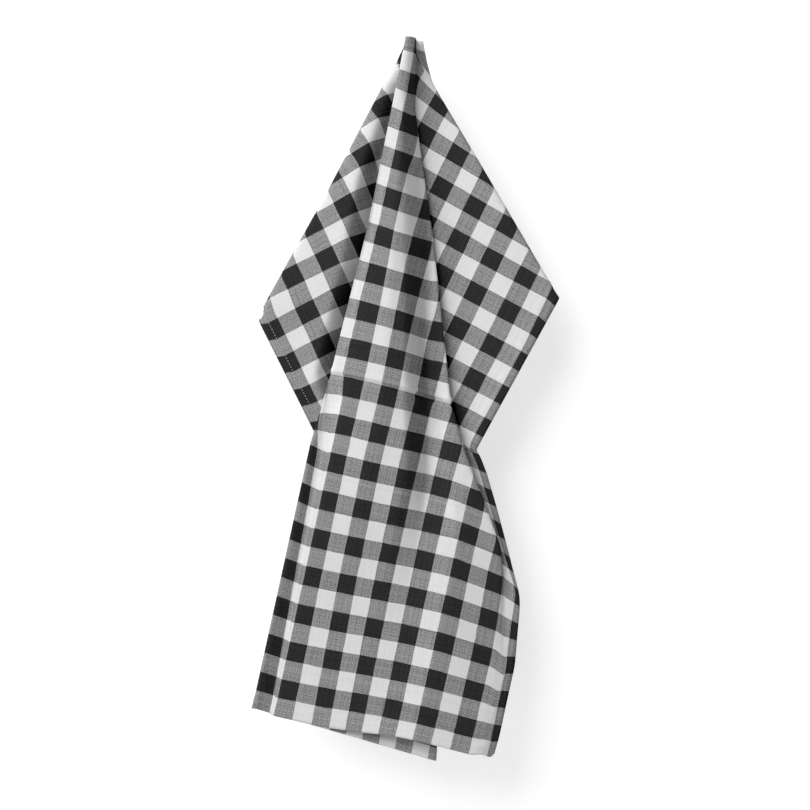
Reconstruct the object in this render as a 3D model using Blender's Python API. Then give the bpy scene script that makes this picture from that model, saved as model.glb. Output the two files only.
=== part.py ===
"""A gingham tea towel hung by the middle of its top hem, so that it falls in a folded cone.

Metres, +Z up, front towards -Y. The origin is the hang point at the top of the towel.
The cloth's own coordinates are "across", from its middle line, and "down", from its top hem.
"""

import bpy
import numpy as np

MM = 0.001
WIDTH = 500.0 * MM
LENGTH = 700.0 * MM
THICKNESS = 1.5 * MM

# Spacing of the fine grid that the folds are worked out on, and how softly they bend.
GRID_STEP = 2.5 * MM
SOFTNESS = 4.0 * MM

# A fold turns round in a strip of cloth a little wider than the gap between its two layers.
TURN_SHARE = 0.55
LEAST_TURN = 1.5 * MM
LEAST_SPACING = 0.8 * MM
ROUNDING = 1e-6

ROWS = 48
CLOTH_COLOUR = (0.30, 0.30, 0.30, 1.0)
CLOTH_ROUGHNESS = 0.9

# Each fold runs down the towel through these points, in millimetres.
# down and across: place on the flat cloth. x and z: place as hung. left and right: how far back
# the cloth lies on the fold's left and right side, as the flat cloth is seen.
COLUMNS = ("down", "across", "x", "z", "left", "right")
FOLDS = {
    "left hem": [
        (0, -250, 33, -252, 54, 54),
        (110, -250, -75, -271, 40, 40),
        (193, -250, -159, -286, 12, 12),
        (350, -250, -91, -423, 20, 20),
        (500, -250, -41.7, -557.1, 30, 30),
        (700, -250, 24, -736, 22, 22),
    ],
    "left edge": [
        (0, -34, -6, -2, 25, 15),
        (10, -36, -8, 0, 24, 14),
        (30, -40.3, -29.4, -41.8, 23, 13),
        (110, -147.8, -91.1, -160.7, 19, 10),
        (183, -243, -154.2, -271.9, 13, 9),
        (193, -243, -150.9, -284.9, 10, 9),
        (350, -243, -82.8, -421.3, 20, 20),
        (500, -244.7, -37.5, -556.2, 30, 30),
        (700, -247, 23, -736, 22, 22),
    ],
    "wing bend": [
        (0, -30, -3, -2, 14, 14),
        (10, -30, -4, 0, 13, 13),
        (30, -30, -20.2, -35.3, 13, 13),
        (110, -104.3, -55.8, -139.2, 11, 11),
        (183, -157.1, -73.7, -233.1, 12, 12),
        (270, -222, -100.5, -343.5, 13, 13),
        (350, -239.3, -77.4, -423.3, 18, 18),
        (500, -242, -34.3, -557.3, 31, 31),
        (700, -245.6, 23.2, -736, 20, 20),
    ],
    "wing hollow": [
        (0, -27, 0, -2, 17, 17),
        (10, -27, -1, 0, 16, 16),
        (30, -22, -9, -36, 19, 19),
        (110, -79.7, -36, -128.8, 24, 24),
        (183, -126.6, -43.9, -221.8, 26, 26),
        (270, -192, -72.7, -327.2, 26, 26),
        (350, -228.2, -69.8, -413.5, 23, 23),
        (500, -234.8, -29.8, -551.7, 31, 31),
        (700, -243.5, 23.5, -736, 20, 20),
    ],
    "hidden left fold": [
        (0, -22, 5, -2, 21, 17),
        (10, -20, 3, 0, 20, 16),
        (30, -12, 0, -31, 21, 17),
        (350, -120, 34, -366, 35, 29),
        (700, -240, 24, -736, 22, 17),
    ],
    "front left edge": [
        (0, -8.8, -7, -2, 12, -4),
        (10, -8.8, -7, 0, 12, -4),
        (64, -11.6, -17.2, -53, 11, -10),
        (200, -13.8, -44.4, -190.4, 10, -15),
        (350, -13.2, -82.4, -339.9, 9, -15),
        (400, -13.9, -97, -391.3, 9, -9),
        (430, -19.9, -103.9, -413.6, 10, -8),
        (700, -30.5, -163.1, -682.1, 17, -2),
    ],
    "front step": [
        (0, 5, -7, -2, -5, -5),
        (10, 5, -7, 0, -5, -5),
        (64, 5, -17.2, -53, -13, -13),
        (200, 6, -44.4, -190.4, -20, -20),
        (350, 5, -82.4, -339.9, -20, -20),
        (380, -1, -91.2, -370.7, -17, -17),
        (430, -4.8, -96, -418.3, -17, -17),
        (700, -6, -145.5, -688.9, -9, -9),
    ],
    "front groove": [
        (0, 7.5, -3.6, -2, -5, -5),
        (10, 7.5, -3.6, 0, -5, -5),
        (64, 8, -17.2, -53, -14, -14),
        (200, 11, -40.3, -192.2, -23, -23),
        (350, 9.5, -80.5, -340.2, -23, -23),
        (380, 7, -77.4, -371, -15, -15),
        (430, 5, -85.3, -422.6, -12, -12),
        (700, 4, -142.8, -689.6, -3, -3),
    ],
    "front ridge": [
        (0, 9, -0.6, -2, -5, -5),
        (10, 9, -0.6, 0, -5, -5),
        (64, 11, -7.7, -58.3, -14.5, -14.5),
        (200, 18, -28.1, -196, -26, -26),
        (350, 17, -63.1, -343.4, -26, -26),
        (400, 14, -76.5, -391.7, -23, -23),
        (700, 14, -141.9, -689.6, -11, -11),
    ],
    "front crown": [
        (0, 11, 0.5, -2, -5, -5),
        (10, 11, 0.8, 0, -5, -5),
        (64, 13.5, -6.8, -57.2, -14, -14),
        (120, 20, -12.8, -115.8, -20, -20),
        (200, 34, -19, -200, -27, -27),
        (350, 55, -28.1, -351.6, -29, -29),
        (430, 62, -40.6, -431.5, -26, -26),
        (560, 62, -67, -560.1, -18, -18),
        (700, 60, -94.1, -699.3, -14, -14),
    ],
    "front shoulder": [
        (0, 12.5, 1.3, -2, -4.5, -4.5),
        (10, 12.5, 2.1, 0, -4.5, -4.5),
        (64, 15, -6.6, -57.2, -11, -11),
        (120, 26, -8.1, -117, -16, -16),
        (200, 46, -7, -203.1, -24, -24),
        (350, 78, -6.7, -357.2, -26, -26),
        (430, 98, -6.6, -439.2, -24, -24),
        (560, 100, -32.1, -566.8, -16, -16),
        (700, 100, -59.5, -704.3, -14, -14),
    ],
    "front trough": [
        (0, 14, 2, -2, -3.5, -3.5),
        (10, 14, 3.4, 0, -3.5, -3.5),
        (64, 17, -1.8, -59.9, -2, -2),
        (120, 37, 7.2, -120.2, 2, 2),
        (200, 68, 18, -208.1, 5, 5),
        (300, 90, 14.1, -312.2, 8, 8),
        (350, 102, 15.4, -363.7, 8, 8),
        (430, 122, 16.8, -444.8, -1, -1),
        (500, 128, 6.8, -513.7, -10, -10),
        (700, 128, -34.4, -708.5, -14, -14),
    ],
    "front bank": [
        (0, 15, 3, -2, -3.5, -3.5),
        (10, 15, 3, 0, -3.5, -3.5),
        (64, 18.2, 1.1, -57.1, -1, -1),
        (120, 40, 9.6, -119.8, 2, 2),
        (200, 72, 21, -208.1, 4, 4),
        (300, 105, 31.9, -315.6, 0, 0),
        (350, 118, 32.6, -368.5, -3, -3),
        (430, 146, 40.2, -450.7, -11, -11),
        (500, 168, 46.1, -522.6, -13, -13),
        (700, 170, 4.1, -715.6, -13, -13),
    ],
    "front right edge": [
        (0, 16, 3, -2, -3, 1),
        (10, 16, 3, 0, -3, 1),
        (64, 16.8, 1.1, -57.1, 0, 5),
        (175, 65.8, 17.9, -181.4, 3, 10),
        (250, 94, 27.2, -261.5, 1, 11),
        (350, 130.7, 38.7, -370.1, -5, 9),
        (402, 159.7, 54.4, -426.1, -9, 5),
        (436, 187.6, 72.4, -469.7, -9, 2),
        (478, 214.9, 90.7, -518.4, -7, 1),
        (505, 221.7, 92.4, -546.6, -4, 0),
        (594, 226.5, 83, -631.6, -2, -2),
        (700, 227.4, 60.8, -730.1, -7, -7),
    ],
    "hidden right fold": [
        (0, 24, 3, -2, 3.5, 6.5),
        (10, 23, 3, 0, 3.5, 6.5),
        (30, 19, 3.6, -18, 6, 9),
        (350, 171, 1.1, -390.7, 16, 21),
        (505, 226, 90.1, -544.6, 2, 4),
        (594, 232, 92.8, -640.4, -2, -2),
        (700, 233, 68.4, -729.2, -6, -6),
    ],
    "right edge": [
        (0, 40, 8, -2, 8, 20),
        (12, 38, 13, -18, 9, 20),
        (30, 48.2, 20, -43.1, 11, 20),
        (90, 132.9, 72.4, -131.7, 7, 17),
        (163, 243, 143.7, -253.3, 3, 7),
        (173, 243, 141, -260.5, 3, 4),
        (350, 243, 63.7, -421.9, 7, 7),
        (516, 245, 108.5, -568.4, 4, 4),
        (700, 245, 78.7, -733.6, -1, -1),
    ],
    "right hem": [
        (0, 250, -16, -252, 43, 43),
        (168, 250, 151, -263, 4, 4),
        (350, 250, 64, -421.5, 7, 7),
        (353, 250, 68, -424, 7, 7),
        (372, 250, 75.6, -443.6, 7, 7),
        (411, 250, 85.6, -478.5, 7, 7),
        (430, 250, 90.2, -496, 7, 7),
        (468, 250, 99, -529.5, 6, 6),
        (507, 250, 107, -562.3, 5, 5),
        (526, 250, 109, -579.4, 5, 5),
        (594, 250, 103.8, -639, 4, 4),
        (671, 250, 88.3, -708.6, 2, 2),
        (700, 250, 82.6, -729.8, 1, 1),
    ],
}

# How far the cloth between a fold and the next one swells forward, in millimetres, at the top
# hem, at the crosswise crease at half length, and at the bottom hem. Behind is negative.
SWELLS = {
    "hidden left fold": (0, -1, -9),
}

# Faces across each stretch of cloth between neighbouring folds, and round each fold's turn.
FACES_BETWEEN = (2, 3, 1, 2, 3, 1, 1, 1, 1, 1, 1, 1, 1, 2, 4, 2)
FACES_IN_TURN = 2


def fold_lines(down):
    """Each fold's two sides at these distances down: across, x, y and z in metres, in order."""
    lines = []
    for rows in FOLDS.values():
        table = dict(zip(COLUMNS, np.array(rows, float).T * MM))
        across, x, z, left, right = (
            np.interp(down, table["down"], table[column]) for column in COLUMNS[1:]
        )
        turn = np.maximum(TURN_SHARE * abs(left - right), LEAST_TURN)
        if rows[0][4] == rows[0][5]:
            lines.append(np.stack([across, x, left, z]))
            continue
        lines.append(np.stack([across - turn, x, left, z]))
        lines.append(np.stack([across + turn, x, right, z]))
    lines = np.stack(lines)
    for index in range(1, len(lines) - 1):
        lines[index, 0] = np.maximum(lines[index, 0], lines[index - 1, 0] + LEAST_SPACING)
    return lines


def is_turn():
    """For each neighbouring pair of fold lines, the name of the fold on its left and if it turns."""
    pairs = []
    for name, rows in FOLDS.items():
        turns = rows[0][4] != rows[0][5]
        pairs += [(name, True)] * turns + [(name, False)]
    return pairs[:-1]


def straight_folds(across, down):
    """The cloth folded with flat sides: along each row, straight from fold line to fold line."""
    lines = fold_lines(down)
    place = np.zeros((3, len(down), len(across)))
    for index, (name, turns) in enumerate(is_turn()):
        start, end = lines[index], lines[index + 1]
        width = np.maximum(end[0] - start[0], 1e-6)
        share = (across[None, :] - start[0][:, None]) / width[:, None]
        inside = (share > -ROUNDING) & (share < 1 + ROUNDING)
        here = start[1:, :, None] + share * (end[1:] - start[1:])[:, :, None]
        if not turns and name in SWELLS:
            swell = np.interp(down, (0, LENGTH / 2, LENGTH), np.array(SWELLS[name]) * MM)
            here[1] -= swell[:, None] * np.sin(np.pi * np.clip(share, 0, 1))
        place = np.where(inside, here, place)
    return place


def softened(place, axis):
    """The same cloth with its corners rounded: a Gaussian blur, mirrored through the cloth's edges."""
    sigma = SOFTNESS / GRID_STEP
    reach = int(3 * sigma)
    place = np.moveaxis(place, axis, -1)
    first, last = place[..., :1], place[..., -1:]
    before = 2 * first - place[..., reach:0:-1]
    after = 2 * last - place[..., -2:-reach - 2:-1]
    padded = np.concatenate([before, place, after], axis=-1)
    steps = np.arange(-reach, reach + 1)
    weights = np.exp(-0.5 * (steps / sigma) ** 2)
    weights /= weights.sum()
    count = place.shape[-1]
    blurred = sum(w * padded[..., i:i + count] for i, w in enumerate(weights))
    return np.moveaxis(blurred, -1, axis)


def sampled(field, across, down):
    """The field's value at each cloth point, straight between its four nearest grid points."""
    column = (across + WIDTH / 2) / GRID_STEP
    row = down / GRID_STEP
    left = np.clip(column.astype(int), 0, field.shape[2] - 2)
    top = np.clip(row.astype(int), 0, field.shape[1] - 2)
    s, t = column - left, row - top
    upper = (1 - s) * field[:, top, left] + s * field[:, top, left + 1]
    lower = (1 - s) * field[:, top + 1, left] + s * field[:, top + 1, left + 1]
    return (1 - t) * upper + t * lower


def mesh_columns(down):
    """Where the mesh's columns cross each row: spaced between fold lines, so that edges follow folds."""
    lines = fold_lines(down)[:, 0]
    counts = iter(FACES_BETWEEN)
    columns = []
    for index, (_, turns) in enumerate(is_turn()):
        count = FACES_IN_TURN if turns else next(counts)
        share = np.arange(count)[:, None] / count
        columns.append(lines[index] * (1 - share) + lines[index + 1] * share)
    columns.append(lines[-1:])
    return np.concatenate(columns)


def towel_mesh():
    """The towel's middle surface as a grid of quads."""
    across = np.arange(-WIDTH / 2, WIDTH / 2 + GRID_STEP / 2, GRID_STEP)
    down = np.arange(0, LENGTH + GRID_STEP / 2, GRID_STEP)
    field = softened(softened(straight_folds(across, down), 2), 1)
    rows = np.linspace(0, LENGTH, ROWS + 1)
    columns = mesh_columns(rows).T
    places = sampled(field, columns, np.broadcast_to(rows[:, None], columns.shape))
    points = np.moveaxis(places, 0, -1).reshape(-1, 3)
    number = np.arange(points.shape[0]).reshape(columns.shape)
    quads = np.stack([number[:-1, :-1], number[1:, :-1], number[1:, 1:], number[:-1, 1:]], axis=-1)
    mesh = bpy.data.meshes.new("towel")
    mesh.from_pydata(points.tolist(), [], quads.reshape(-1, 4).tolist())
    mesh.shade_smooth()
    return mesh


def cloth_material():
    material = bpy.data.materials.new("cloth")
    material.use_nodes = True
    shader = material.node_tree.nodes["Principled BSDF"]
    shader.inputs["Base Color"].default_value = CLOTH_COLOUR
    shader.inputs["Roughness"].default_value = CLOTH_ROUGHNESS
    shader.inputs["Metallic"].default_value = 0.0
    return material


def build():
    for old in list(bpy.data.objects):
        bpy.data.objects.remove(old, do_unlink=True)
    towel = bpy.data.objects.new("towel", towel_mesh())
    towel.data.materials.append(cloth_material())
    bpy.context.scene.collection.objects.link(towel)
    solid = towel.modifiers.new("Thickness", "SOLIDIFY")
    solid.thickness = THICKNESS
    solid.offset = 0.0


build()
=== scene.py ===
import math

import bpy
import numpy as np
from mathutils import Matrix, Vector


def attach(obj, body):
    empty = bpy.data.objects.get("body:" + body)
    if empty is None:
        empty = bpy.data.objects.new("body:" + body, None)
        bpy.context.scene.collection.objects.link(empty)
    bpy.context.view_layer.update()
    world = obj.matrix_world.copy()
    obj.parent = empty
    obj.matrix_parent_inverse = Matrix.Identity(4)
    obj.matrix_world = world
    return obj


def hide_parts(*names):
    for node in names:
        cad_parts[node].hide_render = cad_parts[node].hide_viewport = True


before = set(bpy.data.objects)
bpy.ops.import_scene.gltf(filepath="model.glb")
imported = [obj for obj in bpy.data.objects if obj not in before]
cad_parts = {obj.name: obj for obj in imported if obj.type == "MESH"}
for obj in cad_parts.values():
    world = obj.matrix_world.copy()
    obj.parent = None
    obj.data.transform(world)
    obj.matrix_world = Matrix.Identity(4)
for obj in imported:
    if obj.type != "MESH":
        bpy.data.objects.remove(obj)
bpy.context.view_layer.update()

mm = 0.001

# The cloth's own coordinates are across, from its middle line to the right, and down, from its top hem.
towel = {
    "width": 500 * mm,
    "length": 700 * mm,
    "thickness": 0.6 * mm,
    "hemWidth": 10 * mm,
    "rightHem": 13.5 * mm,    # the right hem is wider than the others
    "hemExtra": 0.9 * mm,     # a hem is three layers of cloth
    "hemEdge": 2.0 * mm,      # over which the hem's extra thickness comes in
    "columns": 182,
    "rows": 258,
    "fieldStep": 1.25 * mm,   # the grid that the folds are worked out on
    "softness": 2.4 * mm,     # how softly a fold bends
    "turnShare": 0.55,        # a fold turns round in a strip a little wider than its gap
    "leastTurn": 1.5 * mm,
    "leastSpacing": 0.8 * mm,
    "creaseEnd": 8 * mm,      # over which a crease dies out at its ends
    "hemDrawnFrom": 681 * mm,
    # how far the bottom hem's stitching draws the front up, in millimetres: across, and up
    "hemDrawn": ((-30, 60, 100, 118, 150, 240), (2.2, -0.5, -0.5, 0.7, 2.6, 1.6)),
    # where the mesh's rows lie closer: down, reach, and how much is added to their density
    "closeRows": ((351 * mm, 9 * mm, 2.2), (678 * mm, 12 * mm, 0.8)),
}
tiny = 1e-6

# Each fold runs down the towel through these points, in millimetres: down and across on the flat
# cloth, x and z as hung, and how far back the cloth lies on the fold's left and right side.
foldColumns = ("down", "across", "x", "z", "left", "right")
folds = {
    "left hem": [
        (0, -250, 33, -252, 54, 54),
        (110, -250, -75, -271, 40, 40),
        (193, -250, -159, -286, 12, 12),
        (350, -250, -91, -423, 20, 20),
        (500, -250, -41.7, -557.1, 30, 30),
        (681, -250, 20.9, -726, -1, -1),
        (700, -250, 22, -735, -1, -1),
    ],
    "left edge": [
        (0, -13, -6, -1, 25, 15),
        (10, -16.5, -9, -5, 24, 14),
        (25, -25, -17, -20.5, 21, 14),
        (30, -39, -29.4, -41.8, 20, 13),
        (110, -147.3, -91.1, -160.7, 17, 9),
        (183, -243, -154.2, -271.9, 13, 9),
        (193, -243, -150.9, -284.9, 10, 9),
        (350, -243, -82.8, -421.3, 20, 20),
        (500, -244.7, -37.5, -556.2, 30, 30),
        (681, -248, 21.2, -726, -1, -1),
        (700, -248, 22.2, -735, -1, -1),
    ],
    "wing bend": [
        (0, -13.5, -5, -2, 14, 14),
        (10, -16.5, -7, -4, 13, 13),
        (25, -20, -14, -19, 14, 14),
        (30, -30, -20.2, -35.3, 13.5, 13.5),
        (110, -104.3, -55.8, -139.2, 5, 5),
        (183, -157.1, -73.7, -233.1, 3, 3),
        (270, -222, -100.5, -343.5, 6, 6),
        (350, -239.3, -77.4, -423.3, 16, 16),
        (500, -242, -34.3, -557.3, 31, 31),
        (681, -246, 21.8, -725.5, -2, -2),
        (700, -246, 22.8, -735.3, -2, -2),
    ],
    "wing hollow": [
        (0, -12.7, -3, -2, 17, 17),
        (10, -15.5, -5, -3, 16, 16),
        (25, -18, -8.5, -21, 18, 18),
        (30, -22, -9, -36, 20, 20),
        (110, -79.7, -36, -128.8, 25, 25),
        (183, -126.6, -43.9, -221.8, 29, 29),
        (270, -192, -72.7, -327.2, 29, 29),
        (350, -228.2, -69.8, -413.5, 23, 23),
        (500, -234.8, -29.8, -551.7, 31, 31),
        (681, -245, 22.5, -725, -2, -2),
        (700, -245, 23.3, -735.6, -2, -2),
    ],
    "hidden left fold": [
        (0, -11.6, 3, -2, 21, 17),
        (10, -13, 2, -3, 20, 16),
        (25, -14, 1, -22, 20, 16),
        (30, -12, 0, -31, 21, 17),
        (350, -120, 34, -366, 35, 29),
        (681, -242, 24.5, -723.5, -3, -7),
        (700, -244, 24, -736, -3, -7),
    ],
    "front left edge": [
        (0, -12.7, -7, -2, 12, -11),
        (10, -13.2, -7, 0, 12, -12),
        (64, -13.8, -17.2, -53, 11, -14),
        (200, -18.2, -44.4, -190.4, 10, -23),
        (350, -15.7, -82.4, -339.9, 7.5, -21),
        (400, -16.1, -97, -391.3, 7, -15),
        (430, -22.7, -103.9, -413.6, 7, -16),
        (700, -24.7, -163.1, -682.1, -5.5, -14),
    ],
    "front step": [
        (0, 5, -7, -2, -12, -12),
        (10, 5, -7, 0, -13, -13),
        (64, 5, -17.2, -53, -13, -13),
        (200, 6, -44.4, -190.4, -20, -20),
        (350, 5, -82.4, -339.9, -20, -20),
        (380, -1, -91.2, -370.7, -14, -14),
        (430, -4.8, -96, -418.3, -7, -7),
        (700, -6, -145.5, -688.9, -4, -4),
    ],
    "front groove": [
        (0, 7.5, -3.6, -2, -12, -12),
        (10, 7.5, -3.6, 0, -13, -13),
        (64, 8, -17.2, -53, -14, -14),
        (200, 11, -40.3, -192.2, -22, -22),
        (350, 9.5, -80.5, -340.2, -22, -22),
        (380, 7, -77.4, -371, -16, -16),
        (430, 5, -85.3, -422.6, -14, -14),
        (700, 4, -142.8, -689.6, -10, -10),
    ],
    "front ridge": [
        (0, 9, -0.6, -2, -12, -12),
        (10, 9, -0.6, 0, -13, -13),
        (64, 11, -7.7, -58.3, -14.5, -14.5),
        (200, 18, -28.1, -196, -25, -25),
        (350, 17, -63.1, -343.4, -26, -26),
        (400, 14, -76.5, -391.7, -23, -23),
        (700, 14, -141.9, -689.6, -13, -13),
    ],
    "front crown": [
        (0, 11, 0.5, -2, -11, -11),
        (10, 11, 0.8, 0, -12, -12),
        (64, 13.5, -6.8, -57.2, -14, -14),
        (120, 20, -12.8, -115.8, -20, -20),
        (200, 34, -19, -200, -27, -27),
        (350, 55, -28.1, -351.6, -29, -29),
        (430, 62, -40.6, -431.5, -26, -26),
        (560, 62, -67, -560.1, -16, -16),
        (700, 60, -94.1, -699.3, -13, -13),
    ],
    "front shoulder": [
        (0, 12.5, 1.3, -2, -9, -9),
        (10, 12.5, 2.1, 0, -9, -9),
        (64, 15, -6.6, -57.2, -11, -11),
        (120, 26, -8.1, -117, -16, -16),
        (200, 46, -7, -203.1, -24, -24),
        (350, 78, -6.7, -357.2, -26, -26),
        (430, 98, -6.6, -439.2, -24, -24),
        (560, 100, -32.1, -566.8, -15, -15),
        (700, 100, -59.5, -704.3, -14, -14),
    ],
    "front trough": [
        (0, 14, 2, -2, -6, -6),
        (10, 14, 3.4, 0, -6, -6),
        (64, 17, -1.8, -59.9, -2, -2),
        (120, 37, 7.2, -120.2, 2, 2),
        (200, 68, 18, -208.1, 5, 5),
        (300, 90, 14.1, -312.2, 8, 8),
        (350, 102, 15.4, -363.7, 8, 8),
        (430, 122, 16.8, -444.8, -1, -1),
        (500, 128, 6.8, -513.7, -9, -9),
        (700, 128, -34.4, -708.5, -16, -16),
    ],
    "front bank": [
        (0, 15, 3, -2, -3.5, -3.5),
        (10, 15, 3, 0, -3.5, -3.5),
        (64, 18.2, 1.1, -57.1, -1, -1),
        (120, 40, 9.6, -119.8, 2, 2),
        (200, 72, 21, -208.1, 4, 4),
        (300, 105, 31.9, -315.6, 0, 0),
        (350, 118, 32.6, -368.5, -3, -3),
        (430, 146, 40.2, -450.7, -11, -11),
        (500, 168, 46.1, -522.6, -14, -14),
        (700, 170, 4.1, -715.6, -20, -20),
    ],
    "front right edge": [
        (0, 16, 3, -2, -3, 1),
        (10, 16, 3, 0, -3, 1),
        (64, 16.8, 1.1, -57.1, 0, 5),
        (175, 65.8, 17.9, -181.4, 3, 10),
        (250, 94, 27.2, -261.5, 1, 11),
        (350, 130.7, 38.7, -370.1, -5, 9),
        (402, 156.4, 54.4, -426.1, -10, -2),
        (436, 183.8, 72.4, -469.7, -9, -5),
        (478, 212.7, 90.7, -518.4, -8, -4),
        (505, 221.2, 92.4, -546.6, -7, -4),
        (594, 226.5, 83, -631.6, -8, -8),
        (700, 227.4, 60.8, -730.1, -16, -16),
    ],
    "hidden right fold": [
        (0, 32.5, 2.5, -1, 3.5, 6.5),
        (6, 32.5, 2.5, -11, 3.5, 6.5),
        (20, 31, 2.5, -17, 3.5, 6.5),
        (30, 19, 3.6, -18, 6, 9),
        (350, 171, 1.1, -390.7, 16, 21),
        (505, 226, 90.1, -544.6, -3, -2),
        (594, 232, 92.8, -640.4, -6, -6),
        (700, 233, 68.4, -729.2, -14, -14),
    ],
    "right edge": [
        (0, 48, 10, -1, 8, 20),
        (6, 48, 12, -13, 8, 20),
        (30, 48.2, 20, -43.1, 11, 20),
        (90, 132.9, 72.4, -131.7, 7, 17),
        (163, 243, 143.7, -253.3, 3, 7),
        (173, 243, 141, -260.5, 3, 4),
        (240, 243, 111, -322, 4.5, 4.5),
        (300, 243, 81.8, -374.6, 5, 5),
        (345, 243, 60.3, -413.7, 5, 5),
        (350, 243, 60, -419, 5, 5),
        (364, 243, 67, -434, 5, 5),
        (516, 245, 108.5, -568.4, -1, -1),
        (700, 245, 78.7, -733.6, -8, -8),
    ],
    "right hem": [
        (0, 250, -16, -252, 43, 43),
        (168, 250, 151, -263, 4, 4),
        (350, 250, 64, -421.5, 5, 5),
        (353, 250, 68, -424, 5, 5),
        (372, 250, 75.6, -443.6, 5, 5),
        (411, 250, 85.6, -478.5, 4, 4),
        (430, 250, 90.2, -496, 3, 3),
        (468, 250, 99, -529.5, 1, 1),
        (507, 250, 107, -562.3, 0, 0),
        (526, 250, 109, -579.4, -1, -1),
        (594, 250, 103.8, -639, -3, -3),
        (671, 250, 88.3, -708.6, -6, -6),
        (700, 250, 82.6, -729.8, -7, -7),
    ],
}

# How far the cloth right of a fold swells forward at the top hem, half length and bottom hem.
swells = {
    "hidden left fold": (0, -1, -1),
}

# Creases listed as the photo shows them, in millimetres on the flat cloth: from, to,
# width, and height towards the front. A trough has a height below nought.
creases = [
    ((-8, 349), (250, 349), 1.9, 1.7),
    ((-8, 353), (250, 353.5), 1.9, -1.6),
    ((-250, 350), (-8, 350), 2.6, -1.2),
    ((102, 345), (113, 358), 3.0, -2.6),
    ((120, 668), (236, 684), 2.2, -1.9),
    ((150, 661), (232, 676), 3.0, 1.1),
    ((176, 156), (150, 178), 2.8, -1.4),
    ((6, 330), (5, 700), 2.2, 0.8),
    ((1, 330), (0, 700), 2.4, -1.3),
    ((-8, 410), (-9, 700), 2.4, 0.5),
    ((30, 60), (70, 330), 9.0, -0.7),
    ((70, 330), (96, 640), 11.0, -0.5),
    ((150, 480), (206, 690), 12.0, 0.6),
    ((-60, 110), (-100, 250), 9.0, 0.8),
    ((150, 120), (110, 300), 12.0, -0.7),
]


def foldLines(down):
    # each fold's two sides at these distances down, in order: across, x, y, z
    lines = []
    for rows in folds.values():
        table = dict(zip(foldColumns, np.array(rows, float).T * mm))
        across, x, z, left, right = (np.interp(down, table["down"], table[k]) for k in foldColumns[1:])
        turn = np.maximum(towel["turnShare"] * abs(left - right), towel["leastTurn"])
        if rows[0][4] == rows[0][5]:
            lines.append(np.stack([across, x, left, z]))
        else:
            lines.append(np.stack([across - turn, x, left, z]))
            lines.append(np.stack([across + turn, x, right, z]))
    lines = np.stack(lines)
    for i in range(1, len(lines) - 1):
        lines[i, 0] = np.maximum(lines[i, 0], lines[i - 1, 0] + towel["leastSpacing"])
    return lines


def stretchNames():
    # the fold on each stretch's left, and whether that stretch is the fold's own turn
    names = []
    for name, rows in folds.items():
        turns = rows[0][4] != rows[0][5]
        names += [(name, True)] * turns + [(name, False)]
    return names[:-1]


def flatFolds(across, down):
    # straight from fold line to fold line along each row, with half a sine wave added as the swell
    lines = foldLines(down)
    frontFrom = stretchNames().index(("front left edge", False))
    drawn = (down - towel["hemDrawnFrom"]) / (towel["length"] - towel["hemDrawnFrom"])
    drawnAt, drawnUp = np.array(towel["hemDrawn"]) * mm
    up = np.interp(across, drawnAt, drawnUp)
    place = np.zeros((3, len(down), len(across)))
    for i, (name, turns) in enumerate(stretchNames()):
        start, end = lines[i], lines[i + 1]
        share = (across[None] - start[0][:, None]) / (end[0] - start[0])[:, None]
        inside = (share > -tiny) & (share < 1 + tiny)
        here = start[1:, :, None] + share * (end[1:] - start[1:])[:, :, None]
        if i >= frontFrom:
            here[2] += np.clip(drawn, 0, 1)[:, None] * up
        if name in swells and not turns:
            swell = np.interp(down, (0, towel["length"] / 2, towel["length"]), np.array(swells[name]) * mm)
            here[1] -= swell[:, None] * np.sin(np.pi * np.clip(share, 0, 1))
        place = np.where(inside, here, place)
    return place


def soften(field, axis, sigma):
    # Gaussian blur along one axis, the field mirrored through its ends so that hems stay put
    sigma = sigma / towel["fieldStep"]
    reach = int(3 * sigma)
    field = np.moveaxis(field, axis, -1)
    before = 2 * field[..., :1] - field[..., reach:0:-1]
    after = 2 * field[..., -1:] - field[..., -2:-reach - 2:-1]
    padded = np.concatenate([before, field, after], axis=-1)
    weights = np.exp(-0.5 * (np.arange(-reach, reach + 1) / sigma) ** 2)
    weights /= weights.sum()
    count = field.shape[-1]
    blurred = sum(w * padded[..., i:i + count] for i, w in enumerate(weights))
    return np.moveaxis(blurred, -1, axis)


def sampleField(field, across, down):
    # bilinear: each value straight between its four nearest grid points
    column = (across + towel["width"] / 2) / towel["fieldStep"]
    row = down / towel["fieldStep"]
    left = np.clip(column.astype(int), 0, field.shape[2] - 2)
    top = np.clip(row.astype(int), 0, field.shape[1] - 2)
    s, t = column - left, row - top
    upper = (1 - s) * field[:, top, left] + s * field[:, top, left + 1]
    lower = (1 - s) * field[:, top + 1, left] + s * field[:, top + 1, left + 1]
    return (1 - t) * upper + t * lower


def unit(v):
    return v / np.maximum(np.linalg.norm(v, axis=0), tiny ** 2)


def creaseRelief(across, down):
    # each crease is a Gaussian ridge around its line, dying out towards its ends
    relief = np.zeros(np.broadcast(across, down).shape)
    for (a0, d0), (a1, d1), width, height in creases:
        start, run = np.array((a0, d0)) * mm, np.array((a1 - a0, d1 - d0)) * mm
        length = np.hypot(*run)
        along = ((across - start[0]) * run[0] + (down - start[1]) * run[1]) / length
        aside = ((across - start[0]) * run[1] - (down - start[1]) * run[0]) / length
        inside = np.clip(np.minimum(along, length - along) / towel["creaseEnd"], 0, 1)
        relief += height * mm * np.exp(-0.5 * (aside / (width * mm)) ** 2) * inside
    return relief


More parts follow.
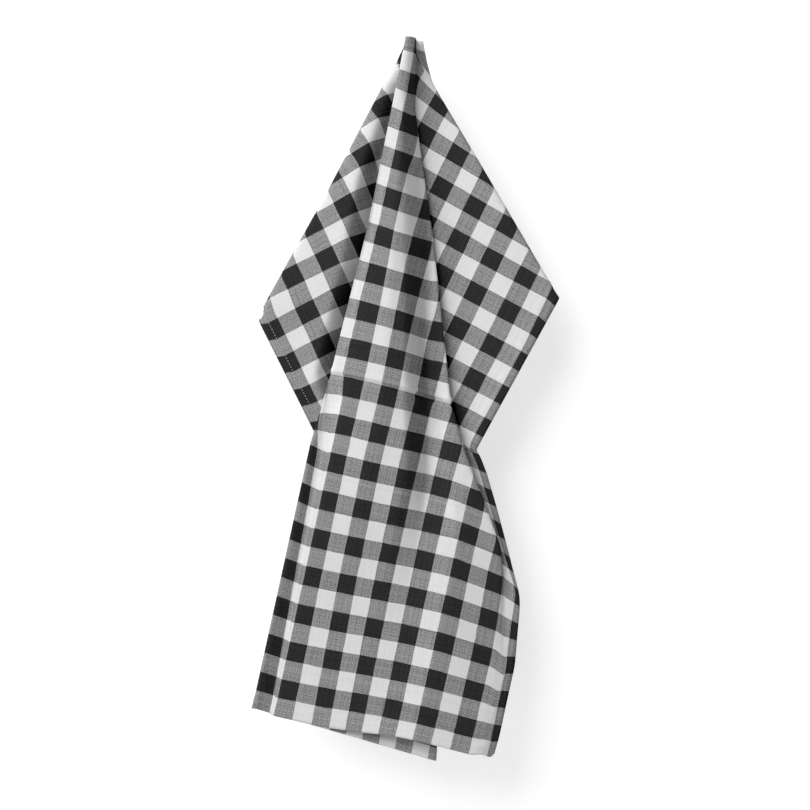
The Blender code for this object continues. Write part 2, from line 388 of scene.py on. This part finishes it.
def clothField():
    # the towel's middle surface and its front normals on the fine grid
    step = towel["fieldStep"]
    across = np.arange(-towel["width"] / 2, towel["width"] / 2 + step / 2, step)
    down = np.arange(0, towel["length"] + step / 2, step)
    place = flatFolds(across, down)
    place = soften(soften(place, 2, towel["softness"]), 1, towel["softness"])
    normal = unit(np.cross(np.gradient(place, axis=1), np.gradient(place, axis=2), axis=0))
    place = place + normal * creaseRelief(across[None], down[:, None])
    normal = unit(np.cross(np.gradient(place, axis=1), np.gradient(place, axis=2), axis=0))
    return place, normal


def meshObject(name, points, quads, uvs=None):
    mesh = bpy.data.meshes.new(name)
    mesh.vertices.add(len(points))
    mesh.vertices.foreach_set("co", np.asarray(points, np.float32).ravel())
    mesh.loops.add(quads.size)
    mesh.loops.foreach_set("vertex_index", quads.ravel().astype(np.int32))
    mesh.polygons.add(len(quads))
    mesh.polygons.foreach_set("loop_start", np.arange(0, quads.size, 4, dtype=np.int32))
    mesh.update(calc_edges=True)
    if uvs is not None:
        layer = mesh.uv_layers.new(name="cloth")
        layer.data.foreach_set("uv", np.asarray(uvs, np.float32)[quads.ravel()].ravel())
    mesh.shade_smooth()
    piece = bpy.data.objects.new(name, mesh)
    bpy.context.scene.collection.objects.link(piece)
    return piece


def rowPlaces():
    # rows down the cloth, closest where a Gaussian round each sharp crease adds to their density
    samples = 2801
    down = np.linspace(0, towel["length"], samples)
    density = np.ones(samples)
    for at, reach, extra in towel["closeRows"]:
        density += extra * np.exp(-((down - at) / reach) ** 2)
    share = np.cumsum(density) - density[0]
    return np.interp(np.linspace(0, share[-1], towel["rows"] + 1), share, down)


def clothPiece(place, normal):
    # two skins either side of the middle surface, further apart at the hems, closed by a rim
    across = np.linspace(-towel["width"] / 2, towel["width"] / 2, towel["columns"] + 1)[None]
    down = rowPlaces()[:, None]
    across, down = np.broadcast_arrays(across, down)
    middle, out = sampleField(place, across, down), unit(sampleField(normal, across, down))
    wider = towel["rightHem"] - towel["hemWidth"]
    inset = np.minimum.reduce([
        towel["width"] / 2 + across,
        towel["width"] / 2 - across - wider,
        down,
        towel["length"] - down,
    ])
    hem = 1 - np.clip((inset - towel["hemWidth"]) / towel["hemEdge"], 0, 1)
    half = (towel["thickness"] + towel["hemExtra"] * hem) / 2
    front, back = middle + out * half, middle - out * half
    points = np.concatenate([front.reshape(3, -1).T, back.reshape(3, -1).T])
    count = across.size
    number = np.arange(count).reshape(across.shape)
    corner = [number[:-1, :-1], number[1:, :-1], number[1:, 1:], number[:-1, 1:]]
    frontQuads = np.stack(corner, axis=-1).reshape(-1, 4)
    backQuads = frontQuads[:, ::-1] + count
    edge = np.concatenate([number[0, ::-1], number[1:, 0], number[-1, 1:], number[-2:0:-1, -1]])
    after = np.roll(edge, -1)
    rim = np.stack([after, edge, edge + count, after + count], axis=-1)
    quads = np.concatenate([frontQuads, backQuads, rim])
    uvs = np.stack([across.ravel(), down.ravel()], axis=-1)
    return meshObject("towel_cloth", points, quads, np.concatenate([uvs, uvs]))


# Sewing: one row of small stitches round all four hems, on both faces.
stitching = {
    "inset": 8.5 * mm,
    "rightInset": 12 * mm,
    "length": 2.3 * mm,
    "pitch": 3.4 * mm,
    "radius": 0.24 * mm,
    "rise": 0.80 * mm,        # above the middle surface
    "sides": 6,
    "sink": 0.35 * mm,        # how far its ends go down into the cloth
    "flatness": 0.8,          # its height compared with its width
    # along the stitch, and its radius there, as shares of its length and radius
    "profile": ((0.0, 0.25), (0.25, 0.9), (0.5, 1.0), (0.75, 0.9), (1.0, 0.25)),
    "threadColours": ((0.42, 0.42, 0.42, 1), (0.60, 0.60, 0.60, 1)),
    "twistScale": 1500.0,
    "roughness": 0.7,
    "clearTop": 45 * mm,      # none where the top hem is bunched up at the hang point
}


def stitchPiece(place, normal):
    # each stitch is a short spindle: a small circle carried along the seam, narrower at both ends
    halfWidth, inset = towel["width"] / 2, stitching["inset"]
    left, right = inset - halfWidth, halfWidth - stitching["rightInset"]
    starts = []
    for along, sides in ((True, (inset, towel["length"] - inset)), (False, (left, right))):
        for side in sides:
            reach = (halfWidth if along else towel["length"] / 2) - inset
            run = np.arange(-reach, reach, stitching["pitch"])
            if along and side == inset:
                run = run[abs(run) > stitching["clearTop"]]
            other = np.full_like(run, side)
            starts.append((run, other, along) if along else (other, run + towel["length"] / 2, along))
    alongStitch, thickness = np.array(stitching["profile"]).T
    turn = np.linspace(0, 2 * np.pi, stitching["sides"], endpoint=False)
    points, quads, uvs = [], [], []
    total = 0
    for face in (1, -1):
        for across, down, along in starts:
            forwards = (alongStitch * stitching["length"])[None]
            a = across[:, None] + forwards * along
            d = down[:, None] + forwards * (not along)
            a = np.clip(a, -halfWidth, halfWidth)
            d = np.clip(d, 0, towel["length"])
            centre, out = sampleField(place, a, d), unit(sampleField(normal, a, d))
            forward = unit(np.gradient(centre, axis=2))
            sideways = unit(np.cross(forward, out, axis=0))
            dip = thickness[None, None]
            centre = centre + face * out * (stitching["rise"] + (dip - 1) * stitching["sink"])
            radius = stitching["radius"] * dip[..., None]
            ring = (centre[..., None]
                    + sideways[..., None] * np.cos(turn) * radius
                    + out[..., None] * np.sin(turn) * radius * stitching["flatness"])
            count, steps, sides = ring.shape[1:]
            index = np.arange(count * steps * sides).reshape(count, steps, sides) + total
            nxt = np.roll(index, -1, axis=2)
            walls = np.stack([index[:, :-1], index[:, 1:], nxt[:, 1:], nxt[:, :-1]], axis=-1)
            half = sides // 2
            ends = []
            for step, order in ((0, -1), (steps - 1, 1)):
                loop = index[:, step]
                for k in range(1, half):
                    capCorners = (k - 1, sides - k, sides - k - 1, k)
                    cap = np.stack([loop[:, j] for j in capCorners], axis=-1)
                    ends.append(cap[:, ::order])
            points.append(ring.reshape(3, -1).T)
            quads.append(np.concatenate([walls.reshape(-1, 4)] + ends))
            total += index.size
    return meshObject("hem_stitching", np.concatenate(points), np.concatenate(quads))


class Socket:
    # wraps a node's output so that sums on sockets add Math nodes
    def __init__(self, tree, output):
        self.tree, self.output = tree, output

    def node(self, kind, settings=None, inputs=None, out=0):
        made = self.tree.nodes.new(kind)
        for key, value in (settings or {}).items():
            setattr(made, key, value)
        for key, value in (inputs or {}).items():
            if isinstance(value, Socket):
                self.tree.links.new(value.output, made.inputs[key])
            else:
                made.inputs[key].default_value = value
        return Socket(self.tree, made.outputs[out])

    def math(self, operation, *values):
        return self.node("ShaderNodeMath", {"operation": operation}, dict(enumerate(values)))

    def __add__(self, other):
        return self.math("ADD", self, other)

    def __radd__(self, other):
        return self.math("ADD", other, self)

    def __sub__(self, other):
        return self.math("SUBTRACT", self, other)

    def __rsub__(self, other):
        return self.math("SUBTRACT", other, self)

    def __mul__(self, other):
        return self.math("MULTIPLY", self, other)

    def __rmul__(self, other):
        return self.math("MULTIPLY", other, self)

    def __truediv__(self, other):
        return self.math("DIVIDE", self, other)

    def __mod__(self, other):
        return self.math("FLOORED_MODULO", self, other)

    def __gt__(self, other):
        return self.math("GREATER_THAN", self, other)


def mixColours(share, first, second):
    return share.node("ShaderNodeMix", {"data_type": "RGBA"}, {0: share, 6: first, 7: second}, out=2)


def newMaterial(name):
    material = bpy.data.materials.new(name)
    material.use_nodes = True
    tree = material.node_tree
    return material, tree.nodes["Principled BSDF"], Socket(tree, None)


gingham = {
    "column": 18.87 * mm,       # width of a stripe across
    "row": 19.28 * mm,          # height of a stripe down
    "rightHalf": 9.7 * mm,      # the stripe that the right hem cuts
    "thread": 0.52 * mm,        # from one thread to the next
    "white": (0.61, 0.61, 0.61, 1),
    "paleYarn": (0.40, 0.40, 0.40, 1),
    "darkYarn": (0.055, 0.055, 0.055, 1),
    "black": (0.027, 0.027, 0.0275, 1),
    "roughness": 0.85,
    "sheen": 0.01,
    "specular": 0.05,
    "weaveBump": 0.12 * mm,
    "bumpStrength": 0.5,
    "wanderScale": 60.0,        # the stripes' edges wander a little
    "wander": 1.0 * mm,
    "slubScale": 750.0,         # thick and thin places in the yarn
    "slubRoughness": 0.75,
    # how much each part adds to the mix of pale and dark yarn in the grey checks
    "speckle": {"thread": 0.20, "slub": 1.6, "yarn": 0.25},
    # and to the brightness of every check, with that of the black ones made stronger
    "uneven": {"slub": 0.34, "yarn": 0.06, "inBlack": 3.0},
}


def clothMaterial():
    # the stripes across and down cross in white, grey and black checks, of threads over and under
    material, shader, s = newMaterial("gingham_cotton")
    uv = s.node("ShaderNodeUVMap", {"uv_map": "cloth"})
    across = s.node("ShaderNodeSeparateXYZ", inputs={0: uv}, out=0)
    down = s.node("ShaderNodeSeparateXYZ", inputs={0: uv}, out=1)
    wander = s.node("ShaderNodeTexNoise", {"noise_dimensions": "2D"}, {
        "Vector": uv, "Scale": gingham["wanderScale"], "Detail": 2.0})
    shift = (wander - 0.5) * gingham["wander"]
    # dark stripes: 1 where the thread is black
    fromRight = towel["width"] / 2 - gingham["rightHalf"] - across + shift
    fromBottom = towel["length"] - down + shift
    warpDark = (fromRight / gingham["column"]) % 2.0 > 1.0
    weftDark = (fromBottom / gingham["row"]) % 2.0 > 1.0
    # each thread has its own shade
    threadAcross = s.math("FLOOR", across / gingham["thread"])
    threadDown = s.math("FLOOR", down / gingham["thread"])
    warpShade = s.node("ShaderNodeTexWhiteNoise", {"noise_dimensions": "1D"}, {"W": threadAcross})
    weftShade = s.node("ShaderNodeTexWhiteNoise", {"noise_dimensions": "1D"}, {"W": threadDown + 0.5})
    over = ((threadAcross + threadDown) % 2.0) > 0.5
    slub = s.node("ShaderNodeTexNoise", {"noise_dimensions": "2D"}, {
        "Vector": uv, "Scale": gingham["slubScale"], "Detail": 3.0, "Roughness": gingham["slubRoughness"]})
    threadDark = warpDark * over + weftDark * (1 - over)
    both = warpDark * weftDark
    either = warpDark + weftDark - both
    grey = either - both
    # in the grey checks black and white threads stand side by side
    yarnShade = warpShade + weftShade - 1
    speck = gingham["speckle"]
    speckle = (threadDark - 0.5) * speck["thread"] + (slub - 0.5) * speck["slub"] + yarnShade * speck["yarn"]
    plain = mixColours(both, gingham["white"], gingham["black"])
    heather = mixColours(s.math("MINIMUM", s.math("MAXIMUM", 0.5 + speckle, 0.0), 1.0),
                         gingham["paleYarn"], gingham["darkYarn"])
    colour = mixColours(grey, plain, heather)
    # small unevenness of the yarn in the white and black checks too, the most in the black ones
    share = gingham["uneven"]
    uneven = (slub - 0.5) * share["slub"] + yarnShade * share["yarn"]
    tone = 1 + uneven * (1 + both * share["inBlack"])
    shaded = s.node("ShaderNodeVectorMath", {"operation": "SCALE"}, {0: colour, "Scale": tone})
    s.tree.links.new(shaded.output, shader.inputs["Base Color"])
    weave = (s.math("ABSOLUTE", s.math("SINE", across * (math.pi / gingham["thread"])))
             * s.math("ABSOLUTE", s.math("SINE", down * (math.pi / gingham["thread"]))))
    height = weave * 0.6 + slub * 0.8
    bump = s.node("ShaderNodeBump", inputs={
        "Height": height, "Strength": gingham["bumpStrength"], "Distance": gingham["weaveBump"]})
    s.tree.links.new(bump.output, shader.inputs["Normal"])
    shader.inputs["Roughness"].default_value = gingham["roughness"]
    shader.inputs["Sheen Weight"].default_value = gingham["sheen"]
    shader.inputs["Specular IOR Level"].default_value = gingham["specular"]
    return material


def threadMaterial():
    material, shader, s = newMaterial("white_sewing_thread")
    place = s.node("ShaderNodeTexCoord", out=3)
    twist = s.node("ShaderNodeTexNoise", inputs={
        "Vector": place, "Scale": stitching["twistScale"], "Detail": 2.0})
    colour = mixColours(twist, *stitching["threadColours"])
    s.tree.links.new(colour.output, shader.inputs["Base Color"])
    shader.inputs["Roughness"].default_value = stitching["roughness"]
    return material


# The stage: a white wall close behind the towel, a pale floor, and soft light from the upper left.
stage = {
    "wallBehind": 68 * mm,
    "wallSize": 6.0,
    "floorDrop": 1.5,
    "lens": 85.0,
    "sensor": 36.0,
    "frameWidth": 0.8262,
    "centre": (-8 * mm, -374 * mm),
    "world": 0.14,
    "blackPoint": 0.007,      # the photo's darkest folds are almost black
    "wallGlow": 0.60,
    "wallColour": (0.5, 0.5, 0.5, 1),
    "floorColour": (0.85, 0.85, 0.85, 1),
    # each light's place in metres, size in metres and power in watts
    "lights": {
        "key_light": ((-1.5, -1.95, 1.45), 2.5, 132),
        "fill_light": ((1.2, -2.6, 0.1), 2.0, 3),
        "back_light": ((0.6, 2.2, 0.8), 1.6, 22),
    },
}


def stageMaterial(name, colour, clearBehind):
    # seen from behind, the wall lets the view through to the towel
    material, shader, s = newMaterial(name)
    shader.inputs["Base Color"].default_value = colour
    shader.inputs["Roughness"].default_value = 1.0
    shader.inputs["Specular IOR Level"].default_value = 0.0
    if clearBehind:
        shader.inputs["Emission Color"].default_value = (1, 1, 1, 1)
        shader.inputs["Emission Strength"].default_value = stage["wallGlow"]
        behind = s.node("ShaderNodeNewGeometry", out=6)
        clear = s.node("ShaderNodeBsdfTransparent")
        lit = Socket(s.tree, shader.outputs[0])
        mixed = s.node("ShaderNodeMixShader", inputs={0: behind, 1: lit, 2: clear})
        s.tree.links.new(mixed.output, s.tree.nodes["Material Output"].inputs["Surface"])
    return material


def stagePlane(name, corners, material):
    # it isn't part of the towel
    mesh = bpy.data.meshes.new(name)
    mesh.from_pydata(corners, [], [(0, 1, 2, 3)])
    mesh.materials.append(material)
    plane = bpy.data.objects.new(name, mesh)
    bpy.context.scene.collection.objects.link(plane)
    return plane


def areaLight(name, place, target, size, power):
    light = bpy.data.lights.new(name, "AREA")
    light.size = size
    light.energy = power
    lamp = bpy.data.objects.new(name, light)
    lamp.location = place
    lamp.rotation_euler = (Vector(target) - Vector(place)).to_track_quat("-Z", "Y").to_euler()
    bpy.context.scene.collection.objects.link(lamp)


def setStage():
    y, half, floor = stage["wallBehind"], stage["wallSize"] / 2, -stage["floorDrop"]
    signs = ((-1, -1), (1, -1), (1, 1), (-1, 1))
    wall = stageMaterial("wall_white", stage["wallColour"], True)
    stagePlane("backdrop", [(-half, y, floor), (half, y, floor), (half, y, half), (-half, y, half)], wall)
    pale = stageMaterial("floor_pale", stage["floorColour"], False)
    stagePlane("floor", [(right * half, back * half, floor) for right, back in signs], pale)
    world = bpy.data.worlds.new("soft_studio")
    world.use_nodes = True
    world.node_tree.nodes["Background"].inputs["Color"].default_value = (1, 1, 1, 1)
    world.node_tree.nodes["Background"].inputs["Strength"].default_value = stage["world"]
    bpy.context.scene.world = world
    middle = (0, 0, stage["centre"][1])
    for name, (place, size, power) in stage["lights"].items():
        areaLight(name, place, middle, size, power)
    view = bpy.context.scene.view_settings
    view.view_transform = "Standard"
    view.use_curve_mapping = True
    view.curve_mapping.black_level = [stage["blackPoint"]] * 3
    view.curve_mapping.update()


def setCamera():
    camera = bpy.data.cameras.new("photo_view")
    camera.lens = stage["lens"]
    camera.sensor_width = stage["sensor"]
    distance = stage["frameWidth"] * stage["lens"] / stage["sensor"]
    view = bpy.data.objects.new("photo_view", camera)
    view.location = (stage["centre"][0], -distance, stage["centre"][1])
    view.rotation_euler = (math.pi / 2, 0, 0)
    bpy.context.scene.collection.objects.link(view)
    bpy.context.scene.camera = view


print("folding the cloth")
place, normal = clothField()
cloth = clothPiece(place, normal)
cloth.data.materials.append(clothMaterial())
print("sewing the hems")
stitches = stitchPiece(place, normal)
stitches.data.materials.append(threadMaterial())
for piece in (cloth, stitches):
    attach(piece, "root")
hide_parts("towel")
print("lighting the stage")
setStage()
setCamera()
